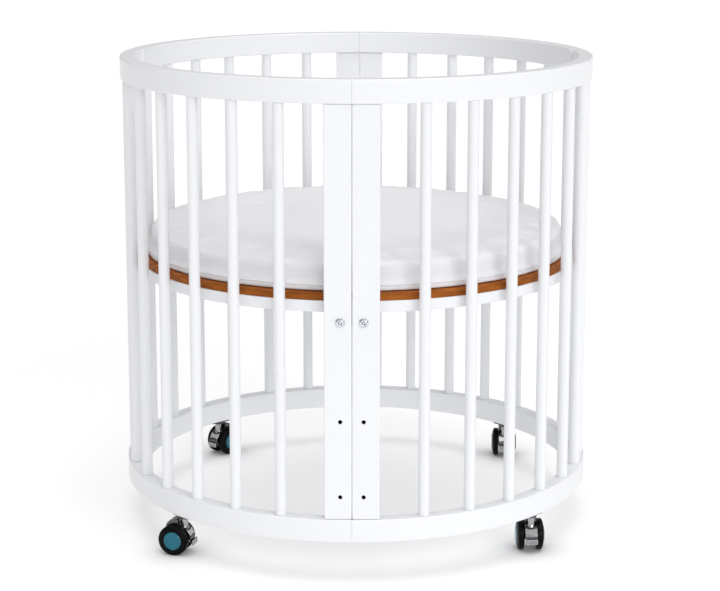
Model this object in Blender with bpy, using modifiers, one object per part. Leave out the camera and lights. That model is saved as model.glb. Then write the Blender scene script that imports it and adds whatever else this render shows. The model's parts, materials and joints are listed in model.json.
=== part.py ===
"""Round baby crib on four twin-wheel casters.

Two D-shaped halves meet at a front and a rear seam. Each half has a half-ring top rail and
bottom rail, a flat post at each end and round rods between the rails. A beam bolted between
the front and rear posts ties the halves together and carries the base board, the stained
panel and the mattress. Metres, +Z up, origin on the floor under the middle of the ring.
"""
import math

import bmesh
import bpy
from mathutils import Matrix, Vector

MM = 0.001
GAP = 0.3 * MM              # clearance between neighbouring pieces
MERGE = 0.00001

# Heights above the floor
BOTTOM_RAIL_LOW = 0.0660
BOTTOM_RAIL_HIGH = 0.1031
TOP_RAIL_LOW = 0.7598
TOP_RAIL_HIGH = 0.7975

# Ring
RING_RADIUS = 0.400         # outer face of the rails
RAIL_WIDTH = 0.024          # radial, front segments
REAR_EXTRA = 0.003          # rear segments are thicker on the inside
STEP_ANGLE = math.radians(98.5)   # from the front seam to the joint between the segments
STEP_RUN = math.radians(0.4)
RAIL_EDGE = 0.0025
SEAM_HALF = 0.0004          # half of the gap between the two halves
RAIL_STEPS = 36

# Rods
ROD_RADIUS = 0.009
ROD_CIRCLE = 0.388
ROD_SIDES = 12
ROD_PITCH = math.radians(11.75)
FIRST_ROD_FRONT = math.radians(16.95)   # from the front seam
FIRST_ROD_REAR = math.radians(14.95)    # from the rear seam
RODS_AT_PITCH = 6           # counted from each seam
RODS_BETWEEN = 2            # share the arc that is left at the side

# Posts and their bolts
POST_WIDTH = 0.043
POST_DEPTH = 0.018
POST_FACE = 0.3975          # outer face, from the middle of the crib
POST_EDGE = 0.002
BOLT_OFFSET = 0.0183        # from the seam
BOLT_HEIGHTS = (0.1399, 0.2621, 0.4210)
BOLT_HOLE_RADIUS = 0.0033
BOLT_SHANK_RADIUS = 0.0030
BOLT_LENGTH = 0.042
BOLT_HEAD_RADIUS = 0.00775
BOLT_HEAD_HEIGHT = 0.0032
HEX_RADIUS = 0.0026
HEX_DEPTH = 0.0022
HOLE_SIDES = 12

# Base and mattress
BEAM_WIDTH = 0.076
BOARD_RADIUS = 0.370
BOARD_LOW = 0.4306
BOARD_HIGH = 0.4492
PANEL_HIGH = 0.4614
MATTRESS_RADIUS = 0.362
MATTRESS_HIGH = 0.5130
MATTRESS_CROWN = 0.004
BEAM_THICK = 0.0186
DISC_STEPS = 48

# Casters, in the caster's own frame: swivel axis at x = 0, +X is the leading side
CASTER_CIRCLE = 0.3855
CASTER_STEPS = 20
TRAIL = 0.014
WHEEL_RADIUS = 0.0254
WHEEL_INNER = 0.0108        # inner face of each wheel, from the middle plane
WHEEL_OUTER = 0.0236        # crown of the hub cap
AXLE_RADIUS = 0.003
HOOD_HALF = 0.0103
HOOD_WALL = 0.0022
NECK_RADIUS = 0.006
STEM_RADIUS = 0.004
PLATE_SIZE = (0.020, 0.042, 0.0022)
RACE_RADIUS = 0.0085
RACE_DEPTH = 0.0040
LEVER_PIVOT = (0.0070, 0.0285)
LEVER_PIN_RADIUS = 0.0015
LEVER_HALF = 0.0078
CASTERS = {                 # azimuth from the front, heading of the leading side from +X
    "front_left": (-46.0, -15.0),
    "front_right": (49.2, -87.0),
    "rear_left": (-136.0, -131.0),
    "rear_right": (134.0, -92.0),
}

FINISHES = {                # colour, roughness, metallic
    "white_lacquer": ((0.86, 0.87, 0.89), 0.30, 0.0),
    "stained_wood": ((0.42, 0.16, 0.045), 0.45, 0.0),
    "mattress_cloth": ((0.84, 0.84, 0.86), 0.90, 0.0),
    "black_plastic": ((0.012, 0.012, 0.014), 0.35, 0.0),
    "caster_metal": ((0.42, 0.42, 0.43), 0.25, 1.0),
    "zinc": ((0.62, 0.64, 0.66), 0.30, 1.0),
}


# Scene helpers ------------------------------------------------------------------------------

def start_scene():
    """Empty the scene and make the collections for the pieces and the cutters."""
    for obj in list(bpy.data.objects):
        bpy.data.objects.remove(obj, do_unlink=True)
    groups = {}
    for name in ("baby_crib", "cutters"):
        group = bpy.data.collections.new(name)
        bpy.context.scene.collection.children.link(group)
        groups[name] = group
    return groups


GROUPS = start_scene()


def make_finishes():
    made = {}
    for name, (colour, roughness, metallic) in FINISHES.items():
        mat = bpy.data.materials.new(name)
        mat.use_nodes = True
        shader = mat.node_tree.nodes["Principled BSDF"]
        shader.inputs["Base Color"].default_value = (*colour, 1.0)
        shader.inputs["Roughness"].default_value = roughness
        shader.inputs["Metallic"].default_value = metallic
        mat.diffuse_color = (*colour, 1.0)
        made[name] = mat
    return made


MATERIALS = make_finishes()


def add_object(name, mesh, finish=None, cutter=False):
    """Put a mesh in the scene as a piece, or as a hidden cutter."""
    obj = bpy.data.objects.new(name, mesh)
    GROUPS["cutters" if cutter else "baby_crib"].objects.link(obj)
    if finish:
        mesh.materials.clear()
        mesh.materials.append(MATERIALS[finish])
        mesh.shade_smooth()
        mesh.set_sharp_from_angle(angle=math.radians(35))
    if cutter:
        obj.hide_render = True
        obj.display_type = "WIRE"
    return obj


def evaluated_mesh(obj, name):
    """The object's mesh with its modifiers, or its curve's surface, as a new closed mesh."""
    bpy.context.view_layer.update()
    graph = bpy.context.evaluated_depsgraph_get()
    mesh = bpy.data.meshes.new_from_object(obj.evaluated_get(graph))
    mesh.name = name
    bm = bmesh.new()
    bm.from_mesh(mesh)
    bmesh.ops.remove_doubles(bm, verts=bm.verts, dist=MERGE)
    bm.to_mesh(mesh)
    bm.free()
    return mesh


def remove_objects(objects):
    for obj in objects:
        bpy.data.objects.remove(obj, do_unlink=True)


def combined(name, base, steps):
    """Boolean steps on a base mesh, each (operation, mesh); returns one mesh."""
    work = add_object(name + "_work", base, cutter=True)
    tools = []
    for index, (operation, mesh) in enumerate(steps):
        tool = add_object(f"{name}_tool_{index}", mesh, cutter=True)
        modifier = work.modifiers.new(operation.lower(), "BOOLEAN")
        modifier.operation = operation
        modifier.solver = "EXACT"
        modifier.object = tool
        tools.append(tool)
    mesh = evaluated_mesh(work, name)
    remove_objects([work] + tools)
    return mesh


def moved(mesh, matrix):
    mesh.transform(matrix)
    return mesh


# Shape helpers ------------------------------------------------------------------------------

def box_mesh(name, low, high):
    mesh = bpy.data.meshes.new(name)
    size = Vector(high) - Vector(low)
    middle = (Vector(high) + Vector(low)) / 2
    bm = bmesh.new()
    bmesh.ops.create_cube(bm, size=1.0, matrix=Matrix.Translation(middle) @ Matrix.Diagonal((*size, 1.0)))
    bm.to_mesh(mesh)
    bm.free()
    return mesh


def rod_mesh(name, radius, low, high, sides):
    """An upright cylinder from one height to another."""
    mesh = bpy.data.meshes.new(name)
    bm = bmesh.new()
    bmesh.ops.create_cone(
        bm, cap_ends=True, segments=sides, radius1=radius, radius2=radius, depth=high - low,
        matrix=Matrix.Translation((0, 0, (low + high) / 2)) @ Matrix.Rotation(math.pi / sides, 4, "Z"))
    bm.to_mesh(mesh)
    bm.free()
    return mesh


ALONG_Y = Matrix.Rotation(math.radians(-90), 4, "X")


def cross_pin(name, radius, low, high, sides, x=0.0, z=0.0):
    """A cylinder along Y."""
    mesh = rod_mesh(name, radius, low, high, sides)
    return moved(mesh, Matrix.Translation((x, 0, z)) @ ALONG_Y)


def turned_mesh(name, profile, steps):
    """Turn a profile of (radius, height), listed from the top down, about Z."""
    mesh = bpy.data.meshes.new(name + "_profile")
    bm = bmesh.new()
    points = [bm.verts.new((radius, 0, height)) for radius, height in profile]
    for first, second in zip(points, points[1:]):
        bm.edges.new((first, second))
    bm.to_mesh(mesh)
    bm.free()
    work = add_object(name + "_work", mesh, cutter=True)
    screw = work.modifiers.new("screw", "SCREW")
    screw.steps = steps
    screw.render_steps = steps
    screw.use_merge_vertices = True
    screw.merge_threshold = MERGE
    result = evaluated_mesh(work, name)
    remove_objects([work])
    return result


def slab_mesh(name, outline, half_width):
    """A flat outline in the XZ plane, as thick as twice half_width along Y."""
    curve = bpy.data.curves.new(name + "_outline", "CURVE")
    curve.dimensions = "2D"
    curve.fill_mode = "BOTH"
    curve.extrude = half_width
    spline = curve.splines.new("POLY")
    spline.points.add(len(outline) - 1)
    for point, (x, z) in zip(spline.points, outline):
        point.co = (x, z, 0, 1)
    spline.use_cyclic_u = True
    work = add_object(name + "_work", curve, cutter=True)
    mesh = evaluated_mesh(work, name)
    remove_objects([work])
    return moved(mesh, Matrix.Rotation(math.radians(90), 4, "X"))


def arc(centre, radius, start, end, steps):
    """Points along an arc, angles in degrees from +X towards +Z."""
    points = []
    for index in range(steps + 1):
        angle = math.radians(start + (end - start) * index / steps)
        points.append((centre[0] + radius * math.cos(angle), centre[1] + radius * math.sin(angle)))
    return points


def bevelled(mesh, name, width, segments=1):
    work = add_object(name + "_work", mesh, cutter=True)
    bevel = work.modifiers.new("bevel", "BEVEL")
    bevel.width = width
    bevel.segments = segments
    bevel.limit_method = "ANGLE"
    result = evaluated_mesh(work, name)
    remove_objects([work])
    return result


# Rails, posts and rods ----------------------------------------------------------------------

def rail_section(angle, inner, low, high):
    """A chamfered rectangle across the rail; the angle is measured from the front seam."""
    edge = RAIL_EDGE
    outer = RING_RADIUS
    corners = [
        (inner, low + edge), (inner + edge, low), (outer - edge, low), (outer, low + edge),
        (outer, high - edge), (outer - edge, high), (inner + edge, high), (inner, high - edge),
    ]
    return [(radius * math.sin(angle), -radius * math.cos(angle), z) for radius, z in corners]


def half_rail(name, low, high):
    """Half a ring on the right side, thicker inside behind the joint between its segments."""
    seam = SEAM_HALF / RING_RADIUS
    stations = []
    for index in range(RAIL_STEPS + 1):
        angle = seam + (math.pi - 2 * seam) * index / RAIL_STEPS
        stations.append(angle)
    before = [a for a in stations if a < STEP_ANGLE - STEP_RUN]
    after = [a for a in stations if a > STEP_ANGLE + 2 * STEP_RUN]
    front_inner = RING_RADIUS - RAIL_WIDTH
    rear_inner = front_inner - REAR_EXTRA
    sections = [(a, front_inner) for a in before + [STEP_ANGLE]]
    sections += [(a, rear_inner) for a in [STEP_ANGLE + STEP_RUN] + after]
    mesh = bpy.data.meshes.new(name)
    bm = bmesh.new()
    rings = []
    for angle, inner in sections:
        rings.append([bm.verts.new(point) for point in rail_section(angle, inner, low, high)])
    for ring, following in zip(rings, rings[1:]):
        count = len(ring)
        for index in range(count):
            other = (index + 1) % count
            bm.faces.new((ring[index], ring[other], following[other], following[index]))
    bm.faces.new(rings[0][::-1])
    bm.faces.new(rings[-1])
    bmesh.ops.recalc_face_normals(bm, faces=bm.faces)
    bm.to_mesh(mesh)
    bm.free()
    return mesh


def make_rails():
    levels = {
        "bottom_rail": (BOTTOM_RAIL_LOW, BOTTOM_RAIL_HIGH),
        "top_rail": (TOP_RAIL_LOW, TOP_RAIL_HIGH),
    }
    for level, (low, high) in levels.items():
        right = half_rail(level + "_right", low, high)
        left = right.copy()
        left.name = level + "_left"
        left.transform(Matrix.Scale(-1, 4, (1, 0, 0)))
        left.flip_normals()
        add_object(level + "_right", right, "white_lacquer")
        add_object(level + "_left", left, "white_lacquer")


def post_mesh(side):
    """A front post with its three bolt holes; side is 1 on the right and -1 on the left."""
    inner = SEAM_HALF
    outer = SEAM_HALF + POST_WIDTH
    low = (min(side * inner, side * outer), -POST_FACE, BOTTOM_RAIL_HIGH + GAP)
    high = (max(side * inner, side * outer), -POST_FACE + POST_DEPTH, TOP_RAIL_LOW - GAP)
    body = bevelled(box_mesh("post", low, high), "post", POST_EDGE)
    cuts = []
    for height in BOLT_HEIGHTS:
        start = -POST_FACE - 0.01
        hole = cross_pin("hole", BOLT_HOLE_RADIUS, start, start + 0.05, HOLE_SIDES,
                         side * BOLT_OFFSET, height)
        cuts.append(("DIFFERENCE", hole))
    return combined("post", body, cuts)


def make_posts():
    turn = Matrix.Rotation(math.pi, 4, "Z")
    for side, front, rear in ((1, "right", "left"), (-1, "left", "right")):
        mesh = post_mesh(side)
        add_object(f"post_front_{front}", mesh, "white_lacquer")
        add_object(f"post_rear_{rear}", moved(mesh.copy(), turn), "white_lacquer")


def rod_angles():
    """Angles from the front seam of the rods of one half, front to rear."""
    front = [FIRST_ROD_FRONT + ROD_PITCH * index for index in range(RODS_AT_PITCH)]
    rear = [math.pi - FIRST_ROD_REAR - ROD_PITCH * index for index in range(RODS_AT_PITCH)]
    share = (rear[-1] - front[-1]) / (RODS_BETWEEN + 1)
    middle = [front[-1] + share * (index + 1) for index in range(RODS_BETWEEN)]
    return front + middle + rear[::-1]


def make_rods():
    mesh = rod_mesh("rod", ROD_RADIUS, BOTTOM_RAIL_HIGH + GAP, TOP_RAIL_LOW - GAP, ROD_SIDES)
    for side, sign in (("left", -1), ("right", 1)):
        for index, angle in enumerate(rod_angles()):
            rod = add_object(f"rod_{side}_{index + 1:02d}", mesh, "white_lacquer")
            rod.location = (sign * ROD_CIRCLE * math.sin(angle), -ROD_CIRCLE * math.cos(angle), 0)
            rod.rotation_euler = (0, 0, sign * angle)


# Base, beam, bolts and mattress -------------------------------------------------------------

def make_base():
    board = turned_mesh("base_board", [
        (0, BOARD_HIGH), (BOARD_RADIUS - 0.002, BOARD_HIGH), (BOARD_RADIUS, BOARD_HIGH - 0.002),
        (BOARD_RADIUS, BOARD_LOW + 0.002), (BOARD_RADIUS - 0.002, BOARD_LOW), (0, BOARD_LOW),
    ], DISC_STEPS)
    add_object("base_board", board, "white_lacquer")
    panel = turned_mesh("base_panel", [
        (0, PANEL_HIGH), (BOARD_RADIUS - 0.001, PANEL_HIGH), (BOARD_RADIUS, PANEL_HIGH - 0.001),
        (BOARD_RADIUS, BOARD_HIGH + GAP), (0, BOARD_HIGH + GAP),
    ], DISC_STEPS)
    add_object("base_panel", panel, "stained_wood")


def make_beam():
    """The cross beam, with blind bolt holes in both of its ends."""
    reach = POST_FACE - POST_DEPTH - GAP
    high = BOARD_LOW - GAP
    low = (-BEAM_WIDTH / 2, -reach, high - BEAM_THICK)
    body = bevelled(box_mesh("beam", low, (BEAM_WIDTH / 2, reach, high)), "beam", 0.0015)
    depth = BOLT_LENGTH - POST_DEPTH + 0.004
    cuts = []
    for side in (-1, 1):
        for end in (-1, 1):
            inner, outer = sorted((end * (reach - depth), end * (reach + 0.01)))
            hole = cross_pin("hole", BOLT_HOLE_RADIUS, inner, outer, HOLE_SIDES,
                             side * BOLT_OFFSET, BOLT_HEIGHTS[-1])
            cuts.append(("DIFFERENCE", hole))
    add_object("base_beam", combined("base_beam", body, cuts), "white_lacquer")


def bolt_mesh():
    """A pan-head bolt with a hex socket, head up, its seat at the origin."""
    radius, height = BOLT_HEAD_RADIUS, BOLT_HEAD_HEIGHT
    body = turned_mesh("bolt", [
        (0, height), (radius * 0.62, height), (radius * 0.92, height * 0.6), (radius, 0),
        (BOLT_SHANK_RADIUS, 0), (BOLT_SHANK_RADIUS, -BOLT_LENGTH), (0, -BOLT_LENGTH),
    ], HOLE_SIDES)
    socket = rod_mesh("socket", HEX_RADIUS, height - HEX_DEPTH, height + 0.001, 6)
    return combined("bolt", body, [("DIFFERENCE", socket)])


def make_bolts():
    mesh = bolt_mesh()
    for end, sign in (("front", -1), ("rear", 1)):
        for side, across in (("left", -1), ("right", 1)):
            bolt = add_object(f"bolt_{end}_{side}", mesh, "zinc")
            bolt.location = (across * BOLT_OFFSET, sign * (POST_FACE + GAP), BOLT_HEIGHTS[-1])
            bolt.rotation_euler = (math.radians(-90) * sign, 0, 0)


def make_mattress():
    low = PANEL_HIGH + GAP
    edge = 0.010
    radius = MATTRESS_RADIUS
    mesh = turned_mesh("mattress", [
        (0, MATTRESS_HIGH + MATTRESS_CROWN), (radius * 0.6, MATTRESS_HIGH + MATTRESS_CROWN * 0.6),
        (radius - edge, MATTRESS_HIGH), (radius - edge * 0.3, MATTRESS_HIGH - edge * 0.3),
        (radius, MATTRESS_HIGH - edge), (radius, low + edge * 0.6), (radius - edge * 0.6, low),
        (0, low),
    ], DISC_STEPS)
    add_object("mattress", mesh, "mattress_cloth")


# Casters ------------------------------------------------------------------------------------

def plate_with_stem():
    """The fixed plate under the rail, its bearing race and the swivel stem; floor at z = 0."""
    top = BOTTOM_RAIL_LOW - GAP
    width, length, thick = PLATE_SIZE
    low = (-width / 2, -length / 2, top - thick)
    plate = bevelled(box_mesh("plate", low, (width / 2, length / 2, top)), "plate", 0.0006)
    race = top - thick - RACE_DEPTH
    stem = turned_mesh("stem", [
        (0, top - thick / 2), (RACE_RADIUS, top - thick / 2), (RACE_RADIUS, race), (STEM_RADIUS, race),
        (STEM_RADIUS, 0.0395), (STEM_RADIUS - 0.001, 0.0385), (0, 0.0385),
    ], CASTER_STEPS)
    return combined("caster_plate", plate, [("UNION", stem)])


def hood_mesh():
    """The swivelling body: neck, crown over the wheels, front shield and two cheeks."""
    axle = (-TRAIL, WHEEL_RADIUS)
    crown = (-0.015, 0.0440)
    outer = [(-0.008, 0.0585)] + arc(crown, 0.0145, 90, 180, 4)
    outer += [(-0.0295, 0.0375)] + arc(axle, 0.0065, 180, 270, 3)
    outer += [(-0.004, 0.0189), (0.0116, 0.0246), (0.0146, 0.0260), (0.0146, 0.0322)]
    outer += [(0.0068, 0.0440), (-0.0055, 0.0475), (-0.008, 0.0495)]
    hollow = [(-0.0102, 0.0563)] + arc(crown, 0.0145 - HOOD_WALL, 90, 180, 4)
    hollow += [(-0.0273, 0.010), (0.0124, 0.010), (0.0124, 0.0315), (0.0056, 0.0418)]
    hollow += [(-0.0070, 0.0453), (-0.0102, 0.0480)]
    neck_top = BOTTOM_RAIL_LOW - 2 * GAP - PLATE_SIZE[2] - RACE_DEPTH
    neck = rod_mesh("neck", NECK_RADIUS, 0.0435, neck_top, CASTER_STEPS)
    bore = rod_mesh("bore", STEM_RADIUS + GAP, 0.032, neck_top + 0.01, CASTER_STEPS)
    axle_bore = cross_pin("axle_bore", AXLE_RADIUS + GAP, -0.02, 0.02, HOLE_SIDES, *axle)
    pin_bore = cross_pin("pin_bore", LEVER_PIN_RADIUS + GAP, -0.02, 0.02, 8, *LEVER_PIVOT)
    return combined("caster_hood", slab_mesh("hood", outer, HOOD_HALF), [
        ("DIFFERENCE", slab_mesh("hollow", hollow, HOOD_HALF - HOOD_WALL)),
        ("UNION", neck),
        ("DIFFERENCE", bore),
        ("DIFFERENCE", axle_bore),
        ("DIFFERENCE", pin_bore),
    ])


def wheel_pair_mesh():
    """Both wheels on their axle, turned about Y; a flat of the tread faces the floor."""
    reach = WHEEL_RADIUS / math.cos(math.pi / CASTER_STEPS)
    half = [
        (0, WHEEL_OUTER), (0.009, WHEEL_OUTER - 0.0006), (0.015, 0.0220), (0.0215, 0.0208),
        (reach, 0.0186), (reach, 0.0120), (reach - 0.0012, WHEEL_INNER), (AXLE_RADIUS, WHEEL_INNER),
    ]
    profile = half + [(radius, -height) for radius, height in half[::-1]]
    mesh = turned_mesh("wheel_pair", profile, CASTER_STEPS)
    half_flat = Matrix.Rotation(math.pi / CASTER_STEPS, 4, "Z")
    return moved(mesh, ALONG_Y @ half_flat)


def lever_mesh():
    """The brake pedal: pivot barrel, arm under the shield and the wide lip, pivot at the origin."""
    arm = [
        (0.0045, 0.0285), (0.0056, 0.0242), (0.0090, 0.0200), (0.0163, 0.0195), (0.0163, 0.0222),
        (0.0102, 0.0225), (0.0092, 0.0242), (0.0092, 0.0285),
    ]
    lip = [
        (0.0157, 0.0172), (0.0175, 0.0170), (0.0183, 0.0182), (0.0177, 0.0256), (0.0157, 0.0256),
    ]
    x, z = LEVER_PIVOT
    barrel = cross_pin("barrel", 0.0026, -LEVER_HALF, LEVER_HALF, HOLE_SIDES, x, z)
    pin = cross_pin("pin", LEVER_PIN_RADIUS, -HOOD_HALF + GAP, HOOD_HALF - GAP, 8, x, z)
    mesh = combined("caster_lever", slab_mesh("arm", arm, LEVER_HALF), [
        ("UNION", slab_mesh("lip", lip, HOOD_HALF)),
        ("UNION", barrel),
        ("UNION", pin),
    ])
    return moved(mesh, Matrix.Translation((-x, 0, -z)))


def make_casters():
    plate, hood, wheels, lever = plate_with_stem(), hood_mesh(), wheel_pair_mesh(), lever_mesh()
    for place, (azimuth, heading) in CASTERS.items():
        around = math.radians(azimuth)
        spot = (CASTER_CIRCLE * math.sin(around), -CASTER_CIRCLE * math.cos(around), 0)
        fixed = add_object(f"caster_{place}_plate", plate, "caster_metal")
        fixed.location = spot
        fixed.rotation_euler = (0, 0, around + math.radians(90))
        swivel = bpy.data.objects.new(f"caster_{place}", None)
        GROUPS["baby_crib"].objects.link(swivel)
        swivel.location = spot
        swivel.rotation_euler = (0, 0, math.radians(heading))
        parts = (
            ("hood", hood, "caster_metal", (0, 0, 0)),
            ("wheels", wheels, "black_plastic", (-TRAIL, 0, WHEEL_RADIUS)),
            ("lever", lever, "zinc", (LEVER_PIVOT[0], 0, LEVER_PIVOT[1])),
        )
        for part, mesh, finish, offset in parts:
            piece = add_object(f"caster_{place}_{part}", mesh, finish)
            piece.parent = swivel
            piece.location = offset


make_rails()
make_posts()
make_rods()
make_base()
make_beam()
make_bolts()
make_mattress()
make_casters()
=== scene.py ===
import json
import math

import bmesh
import bpy
from mathutils import Matrix, Vector, noise
from mathutils.bvhtree import BVHTree


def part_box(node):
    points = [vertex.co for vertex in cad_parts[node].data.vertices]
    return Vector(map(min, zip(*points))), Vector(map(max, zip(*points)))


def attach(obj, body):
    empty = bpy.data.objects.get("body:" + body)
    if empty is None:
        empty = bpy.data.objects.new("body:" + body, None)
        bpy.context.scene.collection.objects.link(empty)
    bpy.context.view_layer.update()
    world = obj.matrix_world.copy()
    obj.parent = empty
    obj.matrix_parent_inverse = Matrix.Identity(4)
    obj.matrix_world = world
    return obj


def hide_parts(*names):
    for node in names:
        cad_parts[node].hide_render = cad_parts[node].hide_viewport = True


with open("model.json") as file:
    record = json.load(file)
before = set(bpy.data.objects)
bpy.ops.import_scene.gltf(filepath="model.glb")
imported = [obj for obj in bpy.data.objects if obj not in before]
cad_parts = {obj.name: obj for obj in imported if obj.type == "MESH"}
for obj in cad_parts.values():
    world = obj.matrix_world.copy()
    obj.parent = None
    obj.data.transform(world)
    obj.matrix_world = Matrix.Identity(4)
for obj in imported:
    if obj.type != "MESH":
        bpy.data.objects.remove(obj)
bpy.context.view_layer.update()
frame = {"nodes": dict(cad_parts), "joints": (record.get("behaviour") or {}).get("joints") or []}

MM = 0.001
NODES = frame["nodes"]
JOINTS = {joint["name"]: joint for joint in frame["joints"]}

# Sizes that the frame gives
RING_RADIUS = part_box("top_rail_right")[1].x
BOTTOM_LOW, BOTTOM_HIGH = (corner.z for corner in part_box("bottom_rail_right"))
TOP_LOW, TOP_HIGH = (corner.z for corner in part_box("top_rail_right"))
BOARD_LOW, BOARD_HIGH = (corner.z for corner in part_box("base_board"))
PANEL_LOW, PANEL_HIGH = (corner.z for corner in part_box("base_panel"))
BOARD_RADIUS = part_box("base_board")[1].x
MATTRESS_LOW, MATTRESS_HIGH = (corner.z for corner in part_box("mattress"))
MATTRESS_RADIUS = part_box("mattress")[1].x
PLACES = ("front_left", "front_right", "rear_left", "rear_right")

# Sizes chosen here, as in the CAD source
STEP_ANGLE = math.radians(98.5)     # joint between a half's front and rear segments
RAIL_EDGE = 2.5 * MM
JOINT_WIDTH = 0.7 * MM
JOINT_DEPTH = 0.35 * MM
END_EDGE = 0.35 * MM
SEAM_GAP = 0.12 * MM                # left open on each side of the seam
POST_EDGE = 2.0 * MM
HOLE_RADIUS = 3.3 * MM
HOLE_HEIGHTS = (0.1399, 0.2621)     # unused bolt holes of each post
BOLT_HEAD = 3.2 * MM
BOLT_SHANK = 3.0 * MM               # radius
HOOD_HALF = 10.3 * MM               # half the width of a caster's hood and pedal lip
HOOD_WALL = 2.2 * MM
LEVER_HALF = 7.8 * MM
LEVER_PIVOT = (7.0 * MM, 0, 28.5 * MM)
AXLE_HALF = 20.4 * MM
PLATE_WIDTH, PLATE_LENGTH, PLATE_THICK = 20 * MM, 42 * MM, 2.2 * MM
RACE_RADIUS, RACE_DEPTH = 8.5 * MM, 3.9 * MM
FLOOR_REACH = 20


# Mesh helpers -------------------------------------------------------------------------------

def new_object(name, mesh, material=None):
    """The mesh as a smooth-shaded object of the scene."""
    obj = bpy.data.objects.new(name, mesh)
    bpy.context.scene.collection.objects.link(obj)
    mesh.shade_smooth()
    if material:
        mesh.materials.append(material)
    return obj


def closed_mesh(name, vertices, faces):
    """A mesh from points and faces, its normals turned outwards."""
    mesh = bpy.data.meshes.new(name)
    bm = bmesh.new()
    made = [bm.verts.new(point) for point in vertices]
    for face in faces:
        bm.faces.new([made[index] for index in face])
    bmesh.ops.recalc_face_normals(bm, faces=bm.faces)
    bm.to_mesh(mesh)
    bm.free()
    return mesh


def loft(name, sections):
    """A closed skin through equal rings of points, capped at both ends."""
    count = len(sections[0])
    vertices = [point for section in sections for point in section]
    faces = []
    for row in range(len(sections) - 1):
        for index in range(count):
            other = (index + 1) % count
            first, second = row * count, (row + 1) * count
            faces.append((first + index, first + other, second + other, second + index))
    faces.append(tuple(range(count)))
    faces.append(tuple((len(sections) - 1) * count + index for index in range(count)))
    return closed_mesh(name, vertices, faces)


def lathe(name, profile, steps):
    """Turn an outline of (radius, height) about Z. It is a closed ring if it starts off the axis."""
    rings, vertices = [], []
    for radius, height in profile:
        start = len(vertices)
        if radius < 1e-7:
            vertices.append((0, 0, height))
            rings.append([start] * steps)
            continue
        for step in range(steps):
            angle = 2 * math.pi * step / steps
            vertices.append((radius * math.cos(angle), radius * math.sin(angle), height))
        rings.append(list(range(start, start + steps)))
    pairs = list(zip(rings, rings[1:]))
    if profile[0][0] > 1e-7:
        pairs.append((rings[-1], rings[0]))
    faces = []
    for first, second in pairs:
        for step in range(steps):
            other = (step + 1) % steps
            corners = [first[step], first[other], second[other], second[step]]
            corners = [c for i, c in enumerate(corners) if c not in corners[:i]]
            if len(corners) > 2:
                faces.append(corners)
    return closed_mesh(name, vertices, faces)


def filleted(points, radii, steps=4, closed=True):
    """The outline with each corner turned into an arc of its own radius, 0 for a sharp one."""
    if not hasattr(radii, "__len__"):
        radii = [radii] * len(points)
    made = []
    count = len(points)
    for index, (corner, radius) in enumerate(zip(points, radii)):
        corner = Vector(corner)
        if radius <= 0 or (not closed and index in (0, count - 1)):
            made.append(tuple(corner))
            continue
        before = (Vector(points[index - 1]) - corner)
        after = (Vector(points[(index + 1) % count]) - corner)
        turn = before.angle(after)
        reach = min(radius / math.tan(turn / 2), before.length * 0.49, after.length * 0.49)
        start = corner + before.normalized() * reach
        end = corner + after.normalized() * reach
        for step in range(steps + 1):
            share = step / steps
            point = start.lerp(corner, share).lerp(corner.lerp(end, share), share)
            made.append(tuple(point))
    return made


def turned(name, points, radii, arc_steps, steps):
    """A solid turned about Z, from an outline that starts and ends on the axis."""
    return lathe(name, filleted(points, radii, arc_steps, closed=False), steps)


def slab(name, outline, low, high):
    """An outline in the XZ plane, as thick as from low to high along Y."""
    return loft(name, [[(x, y, z) for x, z in outline] for y in (low, high)])


def rounded_box(name, low, high, edge, segments=3):
    """A box between two corners, its edges rounded."""
    mesh = bpy.data.meshes.new(name)
    low, high = Vector(low), Vector(high)
    bm = bmesh.new()
    place = Matrix.Translation((low + high) / 2) @ Matrix.Diagonal((*(high - low), 1.0))
    bmesh.ops.create_cube(bm, size=1.0, matrix=place)
    bmesh.ops.bevel(bm, geom=bm.edges, offset=edge, segments=segments, profile=0.5,
                    affect="EDGES", clamp_overlap=True)
    bm.to_mesh(mesh)
    bm.free()
    return mesh


def applied(obj):
    """Makes the object's modifiers part of its mesh."""
    bpy.context.view_layer.update()
    graph = bpy.context.evaluated_depsgraph_get()
    mesh = bpy.data.meshes.new_from_object(obj.evaluated_get(graph))
    obj.modifiers.clear()
    obj.data = mesh
    return obj


def soften(obj, width, segments=2, angle=32):
    """Rounds the sharp edges of a finished mesh."""
    bevel = obj.modifiers.new("edges", "BEVEL")
    bevel.width = width
    bevel.segments = segments
    bevel.limit_method = "ANGLE"
    bevel.angle_limit = math.radians(angle)
    return applied(obj)


def even_shading(obj):
    """Keeps flat faces flat between rounded edges."""
    obj.data.shade_smooth()
    obj.modifiers.new("shading", "WEIGHTED_NORMAL").keep_sharp = True
    return obj


def cut(obj, meshes, operation="DIFFERENCE"):
    """Boolean steps with the given meshes."""
    for mesh in meshes:
        tool = new_object(obj.name + "_tool", mesh)
        modifier = obj.modifiers.new("cut", "BOOLEAN")
        modifier.operation = operation
        modifier.solver = "EXACT"
        modifier.object = tool
        applied(obj)
        bpy.data.objects.remove(tool)
    return obj


def join_meshes(name, parts):
    """One mesh of several, each as (mesh, matrix)."""
    bm = bmesh.new()
    for mesh, matrix in parts:
        copy = mesh.copy()
        copy.transform(matrix)
        bm.from_mesh(copy)
        bpy.data.meshes.remove(copy)
    joined = bpy.data.meshes.new(name)
    bm.to_mesh(joined)
    bm.free()
    return joined


# Material helpers ---------------------------------------------------------------------------

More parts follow.
